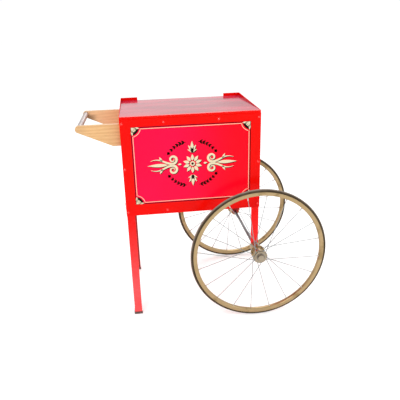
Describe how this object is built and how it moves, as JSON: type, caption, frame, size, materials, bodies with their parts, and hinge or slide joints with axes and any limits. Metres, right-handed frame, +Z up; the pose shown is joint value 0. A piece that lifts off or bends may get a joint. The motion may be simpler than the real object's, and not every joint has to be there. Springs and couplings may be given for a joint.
{
  "type": "popcorn cart",
  "caption": "Two-wheeled red sheet-metal cart for a popcorn machine: cabinet with back door, railed glossy deck, spoked wheels on a fixed axle and a wooden push handle.",
  "frame": {"origin": "on the floor, under the middle of the whole cart's box", "axes": "+Z up, +X from the push handle towards the wheels, -Y the decorated front of the cabinet"},
  "size_m": [1.0544, 0.6856, 0.942],
  "materials": {
    "red_paint": "bright red gloss enamel on sheet steel",
    "plate_enamel": "crimson gloss plate with cream and black ornament",
    "bronze_finish": "gloss bronze lacquer on steel",
    "spoke_steel": "bright plated wire",
    "tyre_rubber": "dark brown-grey solid rubber",
    "bush_nylon": "natural nylon",
    "axle_steel": "dark oiled steel bar",
    "handle_wood": "clear-lacquered light hardwood",
    "crossbar_steel": "satin steel tube",
    "zinc_steel": "zinc-plated fasteners and hinges",
    "foot_plastic": "dark grey moulded cap",
    "knob_plastic": "black gloss knob",
    "catch_plastic": "dark grey magnetic catch"
  },
  "bodies": {
    "cart": {"top_deck": "red_paint", "left_side_panel": "red_paint", "right_side_panel": "red_paint", "front_panel": "red_paint", "front_plate": "plate_enamel", "front_brace": "red_paint", "floor_panel": "red_paint", "back_panel": "red_paint", "front_rivets": "red_paint", "side_rivets": "red_paint", "back_rivets": "red_paint", "front_left_leg": "red_paint", "back_left_leg": "red_paint", "front_right_leg": "red_paint", "back_right_leg": "red_paint", "leg_bolts": "zinc_steel", "leg_nuts": "zinc_steel", "front_left_foot": "foot_plastic", "back_left_foot": "foot_plastic", "axle": "axle_steel", "front_axle_spacer": "bronze_finish", "back_axle_spacer": "bronze_finish", "axle_washers": "zinc_steel", "front_axle_cap": "bronze_finish", "back_axle_cap": "bronze_finish", "front_handle_board": "handle_wood", "back_handle_board": "handle_wood", "handle_crossbar": "crossbar_steel", "handle_plates": "zinc_steel", "handle_screws": "zinc_steel", "frame_hinge_leaves": "zinc_steel", "hinge_pins": "zinc_steel", "frame_hinge_rivets": "zinc_steel", "door_catch": "catch_plastic"},
    "front_wheel": {"front_tyre": "tyre_rubber", "front_rim": "bronze_finish", "front_hub": "bronze_finish", "front_spokes": "spoke_steel", "front_nipples": "spoke_steel", "front_bushes": "bush_nylon"},
    "back_wheel": {"back_tyre": "tyre_rubber", "back_rim": "bronze_finish", "back_hub": "bronze_finish", "back_spokes": "spoke_steel", "back_nipples": "spoke_steel", "back_bushes": "bush_nylon"},
    "door": {"door_panel": "red_paint", "door_hinge_leaves": "zinc_steel", "door_hinge_rivets": "zinc_steel", "door_knob": "knob_plastic", "knob_screw": "zinc_steel", "strike_plate": "zinc_steel"}
  },
  "joints": [
    {"name": "front_wheel_spin", "type": "hinge", "parent": "cart", "child": "front_wheel", "pos_m": [0.22225, -0.297, 0.305], "axis": [0, 1, 0], "continuous": true},
    {"name": "back_wheel_spin", "type": "hinge", "parent": "cart", "child": "back_wheel", "pos_m": [0.22225, 0.297, 0.305], "axis": [0, 1, 0], "continuous": true},
    {"name": "door_swing", "type": "hinge", "parent": "cart", "child": "door", "pos_m": [-0.24225, 0.219, 0.72], "axis": [0, 0, 1], "range_deg": [0, 115]}
  ]
}
